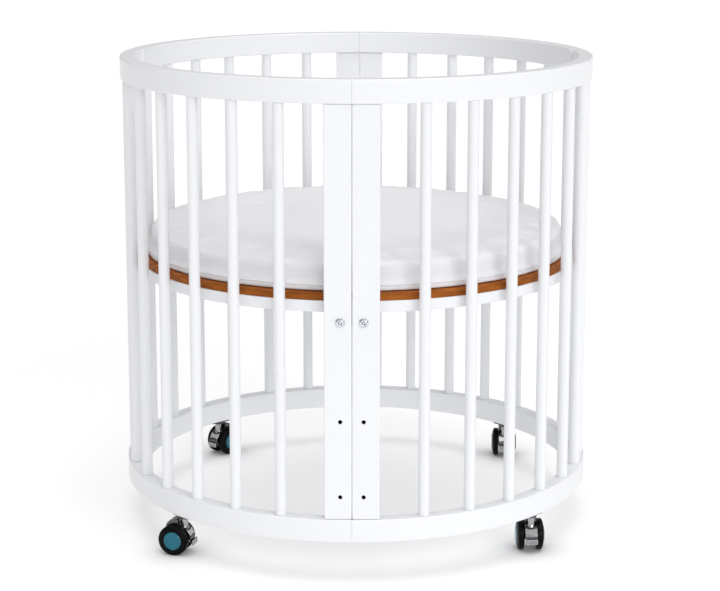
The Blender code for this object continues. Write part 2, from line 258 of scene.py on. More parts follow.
class Paint:
    """A node material with a Principled shader and short ways to add to it."""

    def __init__(self, name, **values):
        self.material = bpy.data.materials.new(name)
        self.material.use_nodes = True
        self.tree = self.material.node_tree
        self.shader = self.tree.nodes["Principled BSDF"]
        for socket, value in values.items():
            self.shader.inputs[socket.replace("_", " ")].default_value = value
        self.height = None
        coordinates = self.tree.nodes.new("ShaderNodeTexCoord")
        self.place = coordinates.outputs["Object"]

    def node(self, kind, inputs=(), **settings):
        made = self.tree.nodes.new(kind)
        for setting, value in settings.items():
            setattr(made, setting, value)
        for key, value in dict(inputs).items():
            if isinstance(value, bpy.types.NodeSocket):
                self.tree.links.new(value, made.inputs[key])
            else:
                made.inputs[key].default_value = value
        return made

    def math(self, operation, first, second=0.0):
        return self.node("ShaderNodeMath", {0: first, 1: second}, operation=operation).outputs[0]

    def scaled(self, scale, source=None):
        inputs = {"Vector": source or self.place, "Scale": scale}
        return self.node("ShaderNodeMapping", inputs).outputs[0]

    def noise(self, scale, detail=3.0, source=None, roughness=0.55):
        """Fractal noise, 0 to 1; scale is in cells for each metre, one number or three."""
        stretch = scale if hasattr(scale, "__len__") else (scale,) * 3
        inputs = {"Vector": self.scaled(stretch, source), "Scale": 1.0, "Detail": detail,
                  "Roughness": roughness}
        return self.node("ShaderNodeTexNoise", inputs).outputs["Fac"]

    def spread(self, value, low, high, to_low=0.0, to_high=1.0):
        inputs = {"Value": value, "From Min": low, "From Max": high, "To Min": to_low,
                  "To Max": to_high}
        return self.node("ShaderNodeMapRange", inputs).outputs[0]

    def mix(self, share, first, second):
        made = self.node("ShaderNodeMix", data_type="RGBA")
        for key, value in ((0, share), (6, first), (7, second)):
            if isinstance(value, bpy.types.NodeSocket):
                self.tree.links.new(value, made.inputs[key])
            else:
                made.inputs[key].default_value = value if key == 0 else (*value, 1.0)
        return made.outputs[2]

    def around(self, radius):
        """Coordinates that run along the ring, outwards and up."""
        parts = self.node("ShaderNodeSeparateXYZ", {0: self.place}).outputs
        turn = self.math("MULTIPLY", self.math("ARCTAN2", parts[1], parts[0]), radius)
        squares = [self.math("MULTIPLY", part, part) for part in parts[:2]]
        outwards = self.math("SQRT", self.math("ADD", *squares))
        return self.node("ShaderNodeCombineXYZ", {0: turn, 1: outwards, 2: parts[2]}).outputs[0]

    def edges(self):
        """About 0.5 on flat places, more on convex edges."""
        return self.node("ShaderNodeNewGeometry").outputs["Pointiness"]

    def use(self, socket, value):
        self.tree.links.new(value, self.shader.inputs[socket])

    def bump(self, value, distance, strength=1.0):
        """Adds relief of a real depth to what is there."""
        inputs = {"Height": value, "Distance": distance, "Strength": strength}
        if self.height:
            inputs["Normal"] = self.height
        self.height = self.node("ShaderNodeBump", inputs).outputs[0]
        self.use("Normal", self.height)


LACQUER_WHITE = (0.860, 0.868, 0.892)
LACQUER_SHADE = (0.828, 0.833, 0.850)


def lacquer(name, grain):
    """Satin white lacquer; grain is the stretch of the wood figure under it, cells each metre."""
    paint = Paint(name, Roughness=0.32, IOR=1.5, Coat_Weight=0.15, Coat_Roughness=0.15)
    source = paint.around(RING_RADIUS) if grain == "ring" else paint.place
    stretch = (5, 220, 220) if grain == "ring" else grain
    figure = paint.noise(stretch, 4.0, source)
    cloud = paint.noise(4.0, 2.0)
    shade = paint.math("ADD", paint.spread(figure, 0.35, 0.75, 0.0, 0.10),
                       paint.spread(cloud, 0.35, 0.70, 0.0, 0.16))
    paint.use("Base Color", paint.mix(shade, LACQUER_WHITE, LACQUER_SHADE))
    paint.use("Roughness", paint.spread(paint.noise(30, 2.0), 0.3, 0.7, 0.30, 0.35))
    paint.bump(figure, 0.000002)
    paint.bump(paint.noise(350, 1.0), 0.000002)
    return paint.material


def stained_wood():
    paint = Paint("stained_wood", Roughness=0.55, IOR=1.45, Specular_IOR_Level=0.12)
    bend = paint.noise(6, 2.0)
    shift = paint.node("ShaderNodeCombineXYZ", {1: paint.math("MULTIPLY", bend, 0.05)}).outputs[0]
    bent = paint.node("ShaderNodeVectorMath", {0: paint.place, 1: shift}).outputs[0]
    rings = paint.noise((3, 55, 130), 5.0, bent, 0.6)
    fibres = paint.noise((40, 900, 900), 3.0)
    pores = paint.noise((25, 1400, 1400), 1.0)
    dark, light = (0.20, 0.052, 0.0075), (0.43, 0.130, 0.018)
    colour = paint.mix(paint.spread(rings, 0.32, 0.68), dark, light)
    colour = paint.mix(paint.spread(fibres, 0.35, 0.75, 0.0, 0.35), colour, (0.25, 0.068, 0.010))
    colour = paint.mix(paint.spread(pores, 0.62, 0.72, 0.0, 0.5), colour, (0.10, 0.024, 0.004))
    worn = paint.spread(paint.edges(), 0.54, 0.66, 0.0, 0.25)
    paint.use("Base Color", paint.mix(worn, colour, (0.50, 0.18, 0.035)))
    paint.use("Roughness", paint.spread(fibres, 0.3, 0.7, 0.48, 0.62))
    paint.bump(fibres, 0.00010)
    paint.bump(pores, 0.00006)
    return paint.material


def woven(name, colour, shade, period=1.3 * MM, relief=0.00018):
    """White woven cover: plain weave, thread slubs, faint creases and a soft sheen."""
    paint = Paint(name, Roughness=0.88, Sheen_Weight=0.25, Sheen_Roughness=0.5, IOR=1.4)
    flat = paint.node("ShaderNodeSeparateXYZ", {0: paint.place}).outputs
    side = paint.node("ShaderNodeSeparateXYZ", {0: paint.around(MATTRESS_RADIUS)}).outputs
    normal = paint.node("ShaderNodeNewGeometry").outputs["Normal"]
    upright = paint.node("ShaderNodeSeparateXYZ", {0: normal}).outputs[2]
    on_top = paint.math("GREATER_THAN", paint.math("ABSOLUTE", upright), 0.7)
    weave = None
    for first, second, use in ((flat[0], flat[1], on_top),
                               (side[0], side[2], paint.math("SUBTRACT", 1.0, on_top))):
        waves = []
        for along in (first, second):
            turn = paint.math("MULTIPLY", along, 2 * math.pi / period)
            waves.append(paint.math("SINE", turn))
        threads = paint.math("MULTIPLY", paint.math("MULTIPLY", *waves), use)
        weave = threads if weave is None else paint.math("ADD", weave, threads)
    slubs = paint.noise((60, 900, 900), 2.0)
    cloud = paint.noise(5, 3.0)
    share = paint.math("ADD", paint.spread(weave, -1, 1, 0.30, 0.0),
                       paint.spread(cloud, 0.35, 0.7, 0.0, 0.25))
    share = paint.math("ADD", share, paint.spread(slubs, 0.5, 0.8, 0.0, 0.3))
    paint.use("Base Color", paint.mix(share, colour, shade))
    paint.use("Roughness", paint.spread(slubs, 0.3, 0.7, 0.82, 0.95))
    folds = paint.math("ABSOLUTE", paint.math("SUBTRACT", paint.noise((4, 17, 22), 2.0), 0.5))
    paint.bump(paint.spread(folds, 0.0, 0.03, 1.0, 0.0), 0.00035)
    paint.bump(paint.noise((10, 26, 30), 3.0), 0.0006)
    paint.bump(weave, relief)
    return paint.material


def moulded_black():
    paint = Paint("moulded_black", Roughness=0.34, IOR=1.5, Specular_IOR_Level=0.09)
    dust = paint.noise(160, 4.0)
    dusty = paint.spread(dust, 0.5, 0.8, 0.0, 0.4)
    colour = paint.mix(dusty, (0.0018, 0.0018, 0.0022), (0.007, 0.007, 0.0075))
    worn = paint.spread(paint.edges(), 0.53, 0.66, 0.0, 0.5)
    paint.use("Base Color", paint.mix(worn, colour, (0.014, 0.014, 0.015)))
    paint.use("Roughness", paint.spread(paint.noise(420, 3.0), 0.3, 0.7, 0.26, 0.42))
    paint.bump(paint.noise(2600, 2.0), 0.00002)
    return paint.material


def teal_gloss():
    paint = Paint("teal_gloss", Roughness=0.3, IOR=1.5, Specular_IOR_Level=0.1, Coat_Weight=0.6,
                  Coat_Roughness=0.06)
    swirl = paint.noise(110, 2.0)
    colour = paint.mix(paint.spread(swirl, 0.35, 0.7), (0.002, 0.118, 0.175), (0.004, 0.140, 0.200))
    # Convex rims turn a lighter teal: partly wear, partly a painted highlight on the caps' rims.
    worn = paint.spread(paint.edges(), 0.53, 0.66, 0.0, 0.35)
    paint.use("Base Color", paint.mix(worn, colour, (0.02, 0.25, 0.33)))
    paint.use("Roughness", paint.spread(paint.noise(600, 2.0), 0.3, 0.7, 0.25, 0.35))
    paint.bump(paint.noise(900, 1.0), 0.000005)
    return paint.material


def plated(name, colour, stain, rough, brush):
    """Plated metal with fine brush marks, a few stains and polished edges."""
    paint = Paint(name, Metallic=1.0, Roughness=rough)
    marks = paint.noise(brush, 3.0)
    cloud = paint.noise(140, 3.0)
    tone = paint.mix(paint.spread(cloud, 0.45, 0.75, 0.0, 0.7), colour, stain)
    tone = paint.mix(paint.spread(marks, 0.4, 0.7, 0.0, 0.25), tone, stain)
    bright = tuple(min(1.0, part * 1.25) for part in colour)
    worn = paint.spread(paint.edges(), 0.51, 0.60, 0.0, 0.6)
    paint.use("Base Color", paint.mix(worn, tone, bright))
    paint.use("Roughness", paint.spread(marks, 0.3, 0.7, rough * 0.75, rough * 1.35))
    paint.bump(marks, 0.00002)
    return paint.material


LOOKS = {
    "upright": lacquer("lacquer_upright", (220, 220, 5)),
    "ring": lacquer("lacquer_ring", "ring"),
    "flat": lacquer("lacquer_flat", (5, 160, 220)),
    "crosswise": lacquer("lacquer_crosswise", (220, 5, 220)),
    "wood": stained_wood(),
    "cloth": woven("woven_cover", (0.93, 0.928, 0.955), (0.85, 0.85, 0.88)),
    "tape": woven("woven_tape", (0.93, 0.935, 0.96), (0.83, 0.83, 0.86), 0.9 * MM, 0.0001),
    "black": moulded_black(),
    "teal": teal_gloss(),
    "steel": plated("plated_steel", (0.42, 0.42, 0.43), (0.24, 0.23, 0.22), 0.16, (60, 900, 60)),
    # Darker copy of the caster's plated metal for the hood: painted shade in place of the dark
    # reflections on its body.
    "painted_shade_metal": plated("painted_shade_metal", (0.12, 0.12, 0.122), (0.045, 0.040, 0.036), 0.20, (90, 90, 500)),
    # Brighter copy of the caster's plated metal for the shield: painted highlight on the hood's front
    # slope.
    "painted_highlight_steel": plated("painted_highlight_steel", (0.86, 0.86, 0.87), (0.70, 0.70, 0.70), 0.14, (60, 700, 60)),
    "dark_steel": plated("dark_steel", (0.11, 0.11, 0.113), (0.05, 0.045, 0.042), 0.28, (300, 300, 60)),
    "zinc": plated("bright_zinc", (0.72, 0.745, 0.78), (0.50, 0.52, 0.55), 0.20, (500, 60, 500)),
    "pedal": plated("pedal_zinc", (0.34, 0.345, 0.36), (0.17, 0.17, 0.175), 0.18, (60, 60, 600)),
}


def piece(name, mesh, look, body, node=None, matrix=None):
    """Adds a piece with its look, on its body, standing for its CAD node if it has one."""
    obj = new_object(name, mesh, LOOKS[look])
    if matrix:
        obj.matrix_world = matrix
    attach(obj, body)
    if node:
        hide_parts(node)
    return obj


# Rails, posts and rods ----------------------------------------------------------------------

def rail_section(angle, inner, low, high, inset, side):
    """A rounded rectangle across the rail, all round smaller by inset."""
    low, high, inner = low + inset, high - inset, inner + inset
    outer = RING_RADIUS - inset
    corners = [(outer, low), (outer, high), (inner, high), (inner, low)]
    points = filleted(corners, RAIL_EDGE, 4)
    across, along = side * math.sin(angle), -math.cos(angle)
    return [(radius * across, radius * along, z) for radius, z in points]


def rail_inner(node, part):
    """The inner radius of a CAD rail, read from its points at the front or the rear."""
    points = [v.co for v in NODES[node].data.vertices]
    chosen = [p for p in points if (p.y < -0.2 if part == "front" else p.y > 0.2)]
    return min(math.hypot(p.x, p.y) for p in chosen)


def make_rail(level, low, high, name_side, side):
    """Half a ring: rounded ends at the seams and a fine joint line with a step inside."""
    node = f"{level}_rail_{name_side}"
    inners = [rail_inner(node, part) for part in ("front", "rear")]
    seam = SEAM_GAP / RING_RADIUS
    end = END_EDGE / RING_RADIUS
    groove = JOINT_WIDTH / RING_RADIUS
    steps = 132
    angles = [seam + end + (math.pi - 2 * (seam + end)) * i / steps for i in range(steps + 1)]
    stations = [(seam + end * (1 - math.cos(t)), END_EDGE * (1 - math.sin(t)), 0)
                for t in (0.0, 0.4, 0.8, 1.2)]
    stations += [(a, 0.0, 0) for a in angles if a < STEP_ANGLE - 2 * groove]
    stations += [(STEP_ANGLE - groove, 0.0, 0), (STEP_ANGLE - groove * 0.2, JOINT_DEPTH, 0)]
    stations += [(STEP_ANGLE + groove * 0.2, JOINT_DEPTH, 1), (STEP_ANGLE + groove, 0.0, 1)]
    stations += [(a, 0.0, 1) for a in angles if a > STEP_ANGLE + 2 * groove]
    stations += [(math.pi - a, inset, 1) for a, inset, _ in stations[3::-1]]
    sections = [rail_section(a, inners[part], low, high, inset, side)
                for a, inset, part in stations]
    rail = piece(node + "_look", loft(node + "_look", sections), "ring", "crib_frame", node)
    return even_shading(rail)


def make_rails():
    for level, low, high in (("bottom", BOTTOM_LOW, BOTTOM_HIGH), ("top", TOP_LOW, TOP_HIGH)):
        for name_side, side in (("left", -1), ("right", 1)):
            make_rail(level, low, high, name_side, side)


def along_y(mesh, place=(0, 0, 0)):
    mesh.transform(Matrix.Translation(place) @ Matrix.Rotation(math.radians(-90), 4, "X"))
    return mesh


def hole_cutter(x, face, outwards, z):
    """A hole along Y that opens with a small chamfer in the post's outer face."""
    chamfer = 0.5 * MM
    reach = 8 * MM
    profile = [(0, reach), (HOLE_RADIUS + chamfer + reach, reach), (HOLE_RADIUS + chamfer, 0),
               (HOLE_RADIUS, -chamfer), (HOLE_RADIUS, -60 * MM), (0, -60 * MM)]
    mesh = lathe("hole", profile, 32)
    turn = Matrix.Rotation(math.radians(90 if outwards < 0 else -90), 4, "X")
    mesh.transform(Matrix.Translation((x, face, z)) @ turn)
    return mesh


def make_posts():
    for end, outwards in (("front", -1), ("rear", 1)):
        for side in ("left", "right"):
            node = f"post_{end}_{side}"
            low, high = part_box(node)
            face = low.y if outwards < 0 else high.y
            bolt_low, bolt_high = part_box(f"bolt_{end}_{side}")
            x = (bolt_low.x + bolt_high.x) / 2
            bolt_z = (bolt_low.z + bolt_high.z) / 2
            post = piece(node + "_look", rounded_box(node, low, high, POST_EDGE, 4), "upright",
                         "crib_frame", node)
            cut(post, [hole_cutter(x, face, outwards, z) for z in (*HOLE_HEIGHTS, bolt_z)])
            even_shading(post)
            for number, z in enumerate(HOLE_HEIGHTS):
                make_insert(f"{node}_insert_{number + 1}", x, face, outwards, z)


def make_insert(name, x, face, outwards, z):
    """The black threaded insert inside an unused hole, open in front and closed behind."""
    outer, inner = HOLE_RADIUS - 0.1 * MM, HOLE_RADIUS - 0.7 * MM
    profile = [(0, -13 * MM), (outer, -13 * MM), (outer, -0.9 * MM), (inner + 0.2 * MM, -0.8 * MM)]
    for turn in range(7):
        depth = -1.4 * MM - turn * 1.3 * MM
        profile += [(inner, depth), (inner + 0.3 * MM, depth - 0.5 * MM)]
    profile += [(inner, -11.5 * MM), (0, -11.5 * MM)]
    mesh = lathe(name, profile, 24)
    turn = Matrix.Rotation(math.radians(90 if outwards < 0 else -90), 4, "X")
    mesh.transform(Matrix.Translation((x, face, z)) @ turn)
    piece(name, mesh, "black", "crib_frame")


def make_rods():
    """Each rod swells a hair where the lacquer gathers at its two ends."""
    for node in sorted(NODES):
        if not node.startswith("rod_"):
            continue
        low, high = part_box(node)
        middle = (low + high) / 2
        radius = max((v.co.xy - middle.xy).length for v in NODES[node].data.vertices)
        half = (high.z - low.z) / 2
        foot = [(radius + 0.5 * MM, half), (radius + 0.25 * MM, half - 0.4 * MM),
                (radius + 0.06 * MM, half - 1.0 * MM), (radius, half - 2 * MM)]
        middle_run = [(radius, half * share) for share in (0.6, 0.2, -0.2, -0.6)]
        profile = [(0, half)] + foot + middle_run
        profile += [(r, -z) for r, z in foot[::-1]] + [(0, -half)]
        mesh = lathe(node, profile, 40)
        piece(node + "_look", mesh, "upright", "crib_frame", node, Matrix.Translation(middle))


# Base ---------------------------------------------------------------------------------------

def disc(name, radius, low, high, edge, look, node):
    profile = filleted([(0, high), (radius, high), (radius, low), (0, low)],
                       [0, edge, edge, 0], 4, closed=False)
    inner = [(radius - 30 * MM, high), (radius - 30 * MM, low)]
    profile = [profile[0], inner[0]] + profile[1:-1] + [inner[1], profile[-1]]
    disc_piece = piece(name, lathe(name, profile, 160), look, "crib_frame", node)
    return even_shading(disc_piece)


def make_base():
    disc("base_board_look", BOARD_RADIUS, BOARD_LOW, BOARD_HIGH, 1.8 * MM, "flat", "base_board")
    disc("base_panel_look", BOARD_RADIUS, PANEL_LOW, PANEL_HIGH, 0.9 * MM, "wood", "base_panel")
    low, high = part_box("base_beam")
    beam = piece("base_beam_look", rounded_box("base_beam", low, high, 1.5 * MM, 3), "crosswise",
                 "crib_frame", "base_beam")
    even_shading(beam)
    screw = turned("screw", [(0, -1.1 * MM), (2.2 * MM, -1.1 * MM), (4.2 * MM, 0.6 * MM), (0, 0.6 * MM)],
                   [0, 0.5 * MM, 0, 0], 3, 32)
    socket = rounded_box("slot", (-2.4 * MM, -0.4 * MM, -2 * MM), (2.4 * MM, 0.4 * MM, -0.3 * MM),
                         0.1 * MM, 1)
    cross = socket.copy()
    cross.transform(Matrix.Rotation(math.pi / 2, 4, "Z"))
    for number, share in enumerate((-0.8, -0.45, 0.45, 0.8)):
        for row in (-1, 1):
            name = f"beam_screw_{number + 1}_{'left' if row < 0 else 'right'}"
            place = Matrix.Translation((row * (high.x - 16 * MM), share * high.y, low.z))
            head = piece(name, screw.copy(), "zinc", "crib_frame", None, place)
            tools = [socket.copy(), cross.copy()]
            for tool in tools:
                tool.transform(place)
            cut(head, tools)


# Bolts --------------------------------------------------------------------------------------

def bolt_head_mesh(radius, height, shank, length):
    """A pan head with a raised ring round its hex socket, on a plain shank; head up."""
    ring = radius * 0.56
    points = [(0, height), (ring * 0.86, height), (ring * 0.98, height),
              (ring * 1.06, height - 0.25 * MM),
              (radius * 0.70, height - 0.15 * MM), (radius * 0.93, height * 0.62), (radius, 0.5 * MM),
              (radius * 0.97, 0), (shank, 0), (shank, -length), (0, -length)]
    radii = [0, 0, 0.1 * MM, 0.1 * MM, 0.3 * MM, 1.4 * MM, 0.3 * MM, 0.2 * MM, 0, 0.4 * MM, 0]
    return turned("bolt", points, radii, 4, 56)


def make_bolts():
    for end, outwards in (("front", -1), ("rear", 1)):
        for side in ("left", "right"):
            node = f"bolt_{end}_{side}"
            low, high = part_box(node)
            centre = (low + high) / 2
            tip = low.y if outwards < 0 else high.y
            radius = (high.x - low.x) / 2
            mesh = bolt_head_mesh(radius, BOLT_HEAD, BOLT_SHANK, high.y - low.y - BOLT_HEAD)
            turn = Matrix.Rotation(math.radians(90 if outwards < 0 else -90), 4, "X")
            place = Matrix.Translation((centre.x, tip - outwards * BOLT_HEAD, centre.z)) @ turn
            bolt = piece(node + "_look", mesh, "zinc", "crib_frame", node, place)
            hexagon = lathe("hex", [(0, 2 * BOLT_HEAD), (2.9 * MM, 2 * BOLT_HEAD), (2.9 * MM, 0.9 * MM),
                                    (0, 0.4 * MM)], 6)
            spin = math.radians(12 if side == "left" else 41)
            hexagon.transform(place @ Matrix.Rotation(spin, 4, "Z"))
            cut(bolt, [hexagon])
            even_shading(bolt)


# Mattress -----------------------------------------------------------------------------------

BAND_HEIGHT = 10 * MM           # lower border of the cover, under its seam
CREASES = (                     # start, middle and end on the top, depth, half width
    ((-0.34, -0.06), (-0.16, -0.075), (0.02, -0.115), 0.9 * MM, 4 * MM),
    ((-0.12, -0.15), (0.00, -0.135), (0.12, -0.155), 0.7 * MM, 5 * MM),
    ((0.05, -0.02), (0.18, -0.06), (0.31, -0.10), 0.8 * MM, 5 * MM),
    ((-0.28, 0.12), (-0.10, 0.08), (0.10, 0.11), 0.8 * MM, 6 * MM),
    ((0.12, 0.20), (0.20, 0.10), (0.33, 0.06), 0.7 * MM, 5 * MM),
)


def mattress_start():
    """A round pad a little smaller than its CAD solid, with rounded edges."""
    radius = MATTRESS_RADIUS - 2.5 * MM
    high = MATTRESS_HIGH - 5.5 * MM
    corners = [(0, high), (radius, high), (radius, MATTRESS_LOW), (0, MATTRESS_LOW)]
    return turned("mattress_start", corners, [0, 13 * MM, 3 * MM, 0], 8, 128)


def remeshed(obj, size):
    remesh = obj.modifiers.new("remesh", "REMESH")
    remesh.mode = "VOXEL"
    remesh.voxel_size = size
    return applied(obj)


def inflate(obj, pressure, frames, cap, pinned_below):
    """Cloth with pressure from inside; a point travels cap at most, and the low part stays put."""
    rest = [v.co.copy() for v in obj.data.vertices]
    group = obj.vertex_groups.new(name="held")
    group.add([i for i, co in enumerate(rest) if co.z < pinned_below], 1.0, "REPLACE")
    cloth = obj.modifiers.new("cloth", "CLOTH")
    cloth.settings.use_pressure = True
    cloth.settings.uniform_pressure_force = pressure
    cloth.settings.effector_weights.gravity = 0
    cloth.settings.vertex_group_mass = "held"
    cloth.settings.quality = 5
    cloth.settings.mass = 0.25
    cloth.settings.bending_stiffness = 1.5
    cloth.point_cache.frame_start = 1
    cloth.point_cache.frame_end = frames
    scene = bpy.context.scene
    for number in range(1, frames + 1):
        scene.frame_set(number)
    applied(obj)
    scene.frame_set(1)
    obj.vertex_groups.clear()
    for vertex, start in zip(obj.data.vertices, rest):
        travel = vertex.co - start
        if travel.length > cap:
            rest_of_way = (1 - math.exp(-(travel.length - cap) * 300)) * MM
            vertex.co = start + travel.normalized() * (cap + rest_of_way)
    return obj


def near_curve(x, y, start, middle, end):
    """Distance to a bent line, and how close to its ends the nearest point is."""
    best, share = 1e9, 0.0
    for step in range(13):
        t = step / 12
        px = (1 - t) ** 2 * start[0] + 2 * t * (1 - t) * middle[0] + t * t * end[0]
        py = (1 - t) ** 2 * start[1] + 2 * t * (1 - t) * middle[1] + t * t * end[1]
        if step:
            dx, dy = px - before[0], py - before[1]
            along = ((x - before[0]) * dx + (y - before[1]) * dy) / (dx * dx + dy * dy)
            along = max(0.0, min(1.0, along))
            gap = math.hypot(x - before[0] - along * dx, y - before[1] - along * dy)
            if gap < best:
                best, share = gap, (step - 1 + along) / 12
        before = (px, py)
    return best, math.sin(math.pi * min(1.0, max(0.0, share)))


def crease(obj):
    """Presses faint creases and slow waves into the cover, and keeps it in its own space."""
    floor_z = MATTRESS_LOW + 0.1 * MM
    for vertex in obj.data.vertices:
        co = vertex.co
        radius = math.hypot(co.x, co.y)
        if co.z > MATTRESS_HIGH - 25 * MM:
            drop = 0.0
            for start, middle, end, depth, width in CREASES:
                gap, share = near_curve(co.x, co.y, start, middle, end)
                if gap < 4 * width:
                    pinch = math.exp(-(gap / width) ** 2)
                    swell = math.exp(-((gap - 2 * width) / width) ** 2)
                    drop += depth * share * (pinch - 0.35 * swell)
            wave = noise.noise(Vector((co.x * 11, co.y * 11, 3.7)))
            co.z += 0.9 * MM * wave - drop
        elif co.z > MATTRESS_LOW + BAND_HEIGHT + 4 * MM:
            angle = math.atan2(co.y, co.x)
            pleat = noise.noise(Vector((math.cos(angle) * 9, math.sin(angle) * 9, co.z * 30)))
            scale = 1 + 0.8 * MM * pleat / radius
            co.x *= scale
            co.y *= scale
        if radius > MATTRESS_RADIUS + 2 * MM:
            scale = (MATTRESS_RADIUS + 2 * MM) / radius
            co.x *= scale
            co.y *= scale
        co.z = max(co.z, floor_z)
    obj.data.update()


def surface_radius(tree, angle, z):
    """How far out the cover is at an angle and a height."""
    outwards = Vector((math.cos(angle), math.sin(angle), 0))
    hit = tree.ray_cast(outwards * 0.6 + Vector((0, 0, z)), -outwards)[0]
    return math.hypot(hit.x, hit.y) if hit else MATTRESS_RADIUS - 5 * MM


def ring_cord(name, tree, z, proud, across, tall, steps=240, sides=8):
    """A cord round the cover, its section an ellipse that lies against the cloth."""
    sections = []
    for step in range(steps):
        angle = 2 * math.pi * step / steps
        radius = surface_radius(tree, angle, z) + proud
        ring = []
        for side in range(sides):
            turn = 2 * math.pi * side / sides
            r = radius + across * math.cos(turn)
            ring.append((r * math.cos(angle), r * math.sin(angle), z + tall * math.sin(turn)))
        sections.append(ring)
    vertices = [point for ring in sections for point in ring]
    faces = []
    for step in range(steps):
        following = (step + 1) % steps
        for side in range(sides):
            other = (side + 1) % sides
            faces.append((step * sides + side, step * sides + other, following * sides + other,
                          following * sides + side))
    return closed_mesh(name, vertices, faces)


def stitch_row(name, tree, z, pitch, length, thick):
    """A row of thread stitches round the cover, each a small capsule pressed into the cloth."""
    parts = []
    ends = [(0, length / 2), (thick, length / 2), (thick, -length / 2), (0, -length / 2)]
    capsule = turned("stitch", ends, [0, thick * 0.9, thick * 0.9, 0], 2, 6)
    capsule.transform(Matrix.Rotation(math.pi / 2, 4, "X"))
    count = round(2 * math.pi * MATTRESS_RADIUS / pitch)
    for number in range(count):
        angle = 2 * math.pi * number / count
        radius = surface_radius(tree, angle, z) + thick * 0.3
        place = Matrix.Rotation(angle, 4, "Z") @ Matrix.Translation((radius, 0, z))
        parts.append((capsule, place))
    return join_meshes(name, parts)


def make_mattress():
    cover = new_object("mattress_cover", mattress_start(), LOOKS["cloth"])
    remeshed(cover, 6 * MM)
    inflate(cover, 4.0, 20, 6 * MM, MATTRESS_LOW + BAND_HEIGHT)
    subdivision = cover.modifiers.new("smooth", "SUBSURF")
    subdivision.levels = 1
    subdivision.render_levels = 1
    applied(cover)
    crease(cover)
    cover.data.shade_smooth()
    cover.data.materials.clear()
    cover.data.materials.append(LOOKS["cloth"])
    tree = BVHTree.FromPolygons([v.co for v in cover.data.vertices],
                                [tuple(p.vertices) for p in cover.data.polygons])
    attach(cover, "mattress")
    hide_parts("mattress")
    seam = MATTRESS_LOW + BAND_HEIGHT
    piping = ring_cord("piping", tree, seam, 0.5 * MM, 1.0 * MM, 1.0 * MM)
    piece("mattress_piping", piping, "tape", "mattress")
    hem = ring_cord("hem", tree, MATTRESS_LOW + 4.2 * MM, 0.3 * MM, 0.6 * MM, 3.2 * MM)
    piece("mattress_hem", hem, "tape", "mattress")
    stitches = stitch_row("stitches", tree, seam + 2.6 * MM, 4.2 * MM, 2.8 * MM, 0.32 * MM)
    piece("mattress_stitches", stitches, "tape", "mattress")


# Casters, in the caster's own frame: swivel axis at x = 0, +X is the leading side ------------

def caster_frame(place):
    """From the caster's own frame to the row frame, with its trail and its wheel radius."""
    swivel = JOINTS[f"{place}_swivel_turn"]["pos_m"]
    roll = JOINTS[f"{place}_wheels_roll"]
    axle = roll["pos_m"]
    heading = math.atan2(-roll["axis"][0], roll["axis"][1])
    matrix = Matrix.Translation((swivel[0], swivel[1], 0)) @ Matrix.Rotation(heading, 4, "Z")
    trail = math.hypot(axle[0] - swivel[0], axle[1] - swivel[1])
    return matrix, trail, axle[2]


def arc(centre, radius, start, end, steps):
    """Points along an arc, angles in degrees from +X towards +Z."""
    points = []
    for index in range(steps + 1):
        angle = math.radians(start + (end - start) * index / steps)
        points.append((centre[0] + radius * math.cos(angle), centre[1] + radius * math.sin(angle)))
    return points


def tyre_mesh(radius):
    """One wheel about Z: tread, rounded shoulders, a groove and the seat of the hub cap."""
    points = [
        (3.4 * MM, 10.8 * MM), (radius - 0.9 * MM, 10.8 * MM), (radius, 11.6 * MM),
        (radius, 18.6 * MM), (radius - 2.1 * MM, 20.3 * MM), (22.6 * MM, 19.9 * MM),
        (22.0 * MM, 20.7 * MM),
        (16.4 * MM, 22.0 * MM), (15.4 * MM, 22.1 * MM), (15.2 * MM, 20.3 * MM), (3.4 * MM, 20.3 * MM),
    ]
    radii = [0, 0.6 * MM, 0.6 * MM, 1.4 * MM, 0.4 * MM, 0.2 * MM, 0.4 * MM,
             0.6 * MM, 0.3 * MM, 0.2 * MM, 0]
    return lathe("wheel", filleted(points, radii, 4), 96)


def cap_mesh():
    """The glossy hub cap: raised rim, shallow dish and a small tab at one place."""
    points = [
        (0, 23.5 * MM), (7 * MM, 23.35 * MM), (11.6 * MM, 22.85 * MM), (12.5 * MM, 23.15 * MM),
        (13.7 * MM, 23.1 * MM), (15.0 * MM, 21.9 * MM), (15.05 * MM, 20.5 * MM), (0, 20.5 * MM),
    ]
    radii = [0, 3 * MM, 0.6 * MM, 0.5 * MM, 1.2 * MM, 0.6 * MM, 0, 0]
    mesh = turned("cap", points, radii, 4, 72)
    for vertex in mesh.vertices:
        co = vertex.co
        distance = math.hypot(co.x, co.y)
        bearing = math.degrees(math.atan2(co.y, co.x))
        if abs(bearing) < 6 and distance > 14 * MM and co.z > 21.4 * MM:
            co.x *= (distance + 1.1 * MM * (1 - abs(bearing) / 7)) / distance
    return mesh


def hood_outlines(trail, radius):
    """The outer outline of the hood and of its hollow, seen from the side."""
    axle = (-trail, radius)
    crown = (-0.015, 0.0440)
    outer = [(-0.0080, 0.0585)] + arc(crown, 0.0145, 90, 180, 12)
    outer += [(-0.0295, 0.0375)] + arc(axle, 0.0065, 180, 270, 6)
    outer += [(-0.0040, 0.0189), (0.0116, 0.0246), (0.0146, 0.0260), (0.0146, 0.0322)]
    outer += [(0.0068, 0.0440), (-0.0055, 0.0475), (-0.0080, 0.0495)]
    hollow = [(-0.0102, 0.0563)] + arc(crown, 0.0123, 90, 180, 12)
    hollow += [(-0.0273, 0.010), (0.0124, 0.010), (0.0124, 0.0315), (0.0056, 0.0418)]
    hollow += [(-0.0070, 0.0453), (-0.0102, 0.0480)]
    return outer, hollow


